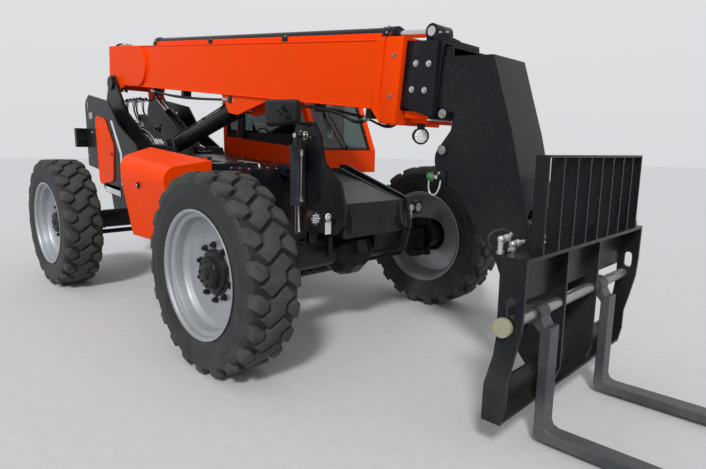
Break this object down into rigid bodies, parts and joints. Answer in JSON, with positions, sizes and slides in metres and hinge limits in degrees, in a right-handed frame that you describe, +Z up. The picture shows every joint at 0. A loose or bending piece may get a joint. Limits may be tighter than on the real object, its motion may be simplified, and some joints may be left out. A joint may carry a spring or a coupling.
{
  "type": "telescopic handler",
  "caption": "Rough-terrain telescopic handler with a sliding boom, gooseneck, pallet forks, side cab, side engine hood and steered wheels.",
  "frame": {"origin": "on the floor under the middle of the whole machine, forks included", "axes": "+X forward along the forks, +Y to the left where the cab is, +Z up"},
  "size_m": [7.2, 2.615, 2.6407],
  "materials": {
    "paint_orange": "gloss orange paint",
    "paint_black": "satin black paint",
    "paint_silver": "silver grey paint",
    "fork_steel": "dark grey paint, worn",
    "zinc_bar": "yellow zinc plate",
    "rod_chrome": "hard chrome",
    "tyre_rubber": "black rubber",
    "clear_glass": "tinted glass",
    "seat_cover": "black vinyl",
    "black_plastic": "matt black",
    "cast_block": "cast"
  },
  "bodies": {
    "chassis": {"main_frame": "paint_black", "tail_boxes": "paint_black", "tail_doors": "paint_orange", "counterweight": "paint_black", "engine_block": "cast_block", "tank_deck": "paint_black", "valve_block": "paint_black", "sway_cylinder": "paint_black", "lamps": "black_plastic", "mirror": "black_plastic", "cab_tub": "paint_orange", "cab_frame": "paint_orange", "cab_roof": "paint_orange", "cab_windows": "clear_glass", "seat": "seat_cover", "steering_console": "black_plastic", "cab_steps": "paint_black", "axle_front": "paint_black", "axle_rear": "paint_black"},
    "hood": {"engine_hood": "paint_orange"},
    "door": {"cab_door": "paint_orange", "door_window": "clear_glass"},
    "boom_outer": {"boom_outer": "paint_orange", "extension_barrel": "paint_black"},
    "boom_middle": {"boom_middle": "paint_black", "extension_rod": "rod_chrome"},
    "boom_fly": {"boom_fly": "paint_black"},
    "lift_barrel": {"lift_barrel": "paint_black"},
    "lift_rod": {"lift_rod": "rod_chrome"},
    "level_barrel": {"level_barrel": "paint_black"},
    "level_rod": {"level_rod": "rod_chrome"},
    "tilt_barrel": {"tilt_barrel": "paint_black"},
    "tilt_rod": {"tilt_rod": "rod_chrome"},
    "carriage": {"carriage_frame": "paint_black", "fork_bar": "zinc_bar"},
    "fork_right": {"fork_right": "fork_steel"},
    "fork_left": {"fork_left": "fork_steel"},
    "steer_rod_front": {"steer_rod_front": "paint_black"},
    "steer_rod_rear": {"steer_rod_rear": "paint_black"},
    "knuckle_front_right": {"knuckle_front_right": "paint_black"},
    "wheel_front_right": {"tyre_front_right": "tyre_rubber", "rim_front_right": "paint_silver"},
    "knuckle_front_left": {"knuckle_front_left": "paint_black"},
    "wheel_front_left": {"tyre_front_left": "tyre_rubber", "rim_front_left": "paint_silver"},
    "knuckle_rear_right": {"knuckle_rear_right": "paint_black"},
    "wheel_rear_right": {"tyre_rear_right": "tyre_rubber", "rim_rear_right": "paint_silver"},
    "knuckle_rear_left": {"knuckle_rear_left": "paint_black"},
    "wheel_rear_left": {"tyre_rear_left": "tyre_rubber", "rim_rear_left": "paint_silver"}
  },
  "joints": [
    {"name": "front_steer", "type": "hinge", "parent": "chassis", "child": "knuckle_front_right", "pos_m": [0.52, -0.905, 0.64], "axis": [0, 0, 1], "range_deg": [-35, 35]},
    {"name": "wheel_front_right_spin", "type": "hinge", "parent": "knuckle_front_right", "child": "wheel_front_right", "pos_m": [0.52, -1.135, 0.64], "axis": [0, 1, 0], "continuous": true},
    {"name": "front_steer_left", "type": "hinge", "parent": "chassis", "child": "knuckle_front_left", "pos_m": [0.52, 0.905, 0.64], "axis": [0, 0, 1], "range_deg": [-35.02, 35.02]},
    {"name": "wheel_front_left_spin", "type": "hinge", "parent": "knuckle_front_left", "child": "wheel_front_left", "pos_m": [0.52, 1.135, 0.64], "axis": [0, 1, 0], "continuous": true},
    {"name": "front_steer_rod_slide", "type": "slide", "parent": "chassis", "child": "steer_rod_front", "axis": [0, 1, 0], "range_m": [-0.12065, 0.12065]},
    {"name": "rear_steer", "type": "hinge", "parent": "chassis", "child": "knuckle_rear_right", "pos_m": [-2.48, -0.905, 0.64], "axis": [0, 0, 1], "range_deg": [-35, 35]},
    {"name": "wheel_rear_right_spin", "type": "hinge", "parent": "knuckle_rear_right", "child": "wheel_rear_right", "pos_m": [-2.48, -1.135, 0.64], "axis": [0, 1, 0], "continuous": true},
    {"name": "rear_steer_left", "type": "hinge", "parent": "chassis", "child": "knuckle_rear_left", "pos_m": [-2.48, 0.905, 0.64], "axis": [0, 0, 1], "range_deg": [-35.02, 35.02]},
    {"name": "wheel_rear_left_spin", "type": "hinge", "parent": "knuckle_rear_left", "child": "wheel_rear_left", "pos_m": [-2.48, 1.135, 0.64], "axis": [0, 1, 0], "continuous": true},
    {"name": "rear_steer_rod_slide", "type": "slide", "parent": "chassis", "child": "steer_rod_rear", "axis": [0, 1, 0], "range_m": [-0.12065, 0.12065]},
    {"name": "boom_lift", "type": "hinge", "parent": "chassis", "child": "boom_outer", "pos_m": [-3.24, 0, 2.165], "axis": [0, -1, 0], "range_deg": [0, 70]},
    {"name": "boom_extend", "type": "slide", "parent": "boom_outer", "child": "boom_middle", "axis": [0.994, 0, -0.1097], "range_m": [0, 3.1]},
    {"name": "fly_extend", "type": "slide", "parent": "boom_middle", "child": "boom_fly", "axis": [0.994, 0, -0.1097], "range_m": [-0.0002, 3.1002]},
    {"name": "carriage_tilt", "type": "hinge", "parent": "boom_fly", "child": "carriage", "pos_m": [2.12, 0, 0.5], "axis": [0, -1, 0], "range_deg": [-82, 14]},
    {"name": "lift_barrel_turn", "type": "hinge", "parent": "chassis", "child": "lift_barrel", "pos_m": [-2.43, -0.094, 1.32], "axis": [0, -1, 0], "range_deg": [-0.02, 67.01]},
    {"name": "lift_rod_slide", "type": "slide", "parent": "lift_barrel", "child": "lift_rod", "axis": [0.9624, 0, 0.2717], "range_m": [-0.0002, 1.33731]},
    {"name": "level_barrel_turn", "type": "hinge", "parent": "chassis", "child": "level_barrel", "pos_m": [-1.83, 0.11, 1.33], "axis": [0, -1, 0], "range_deg": [-10.35, 0.02]},
    {"name": "level_rod_slide", "type": "slide", "parent": "level_barrel", "child": "level_rod", "axis": [-0.8368, 0, 0.5475], "range_m": [-0.0002, 0.33089]},
    {"name": "tilt_barrel_turn", "type": "hinge", "parent": "boom_fly", "child": "tilt_barrel", "pos_m": [1.555, 0, 1.425], "axis": [0, -1, 0], "range_deg": [-3.21, 0.56]},
    {"name": "tilt_rod_slide", "type": "slide", "parent": "tilt_barrel", "child": "tilt_rod", "axis": [0.7477, 0, -0.664], "range_m": [-0.08357, 0.48853]},
    {"name": "hood_open", "type": "hinge", "parent": "chassis", "child": "hood", "pos_m": [-0.805, -0.65, 1.33], "axis": [-1, 0, 0], "range_deg": [0, 60]},
    {"name": "door_open", "type": "hinge", "parent": "chassis", "child": "door", "pos_m": [-1.634, 1.221, 1.8], "axis": [0, 0, 1], "range_deg": [0, 100]},
    {"name": "fork_right_slide", "type": "slide", "parent": "carriage", "child": "fork_right", "axis": [0, 1, 0], "range_m": [-0.224, 0.176]},
    {"name": "fork_left_slide", "type": "slide", "parent": "carriage", "child": "fork_left", "axis": [0, 1, 0], "range_m": [-0.03, 0.37]}
  ],
  "couplings": [
    {"joint": "front_steer_left", "follows": "front_steer", "ratio": 1},
    {"joint": "front_steer_rod_slide", "follows": "front_steer", "m_per_rad": -0.19718},
    {"joint": "rear_steer_left", "follows": "rear_steer", "ratio": 1},
    {"joint": "rear_steer_rod_slide", "follows": "rear_steer", "m_per_rad": -0.19718},
    {"joint": "fly_extend", "follows": "boom_extend", "ratio": 1},
    {"joint": "lift_barrel_turn", "follows": "boom_lift", "ratio": 0.95695},
    {"joint": "lift_rod_slide", "follows": "boom_lift", "m_per_rad": 1.0944},
    {"joint": "level_barrel_turn", "follows": "boom_lift", "ratio": -0.14762},
    {"joint": "level_rod_slide", "follows": "boom_lift", "m_per_rad": 0.27068},
    {"joint": "tilt_barrel_turn", "follows": "carriage_tilt", "ratio": 0.038854},
    {"joint": "tilt_rod_slide", "follows": "carriage_tilt", "m_per_rad": -0.34121}
  ]
}
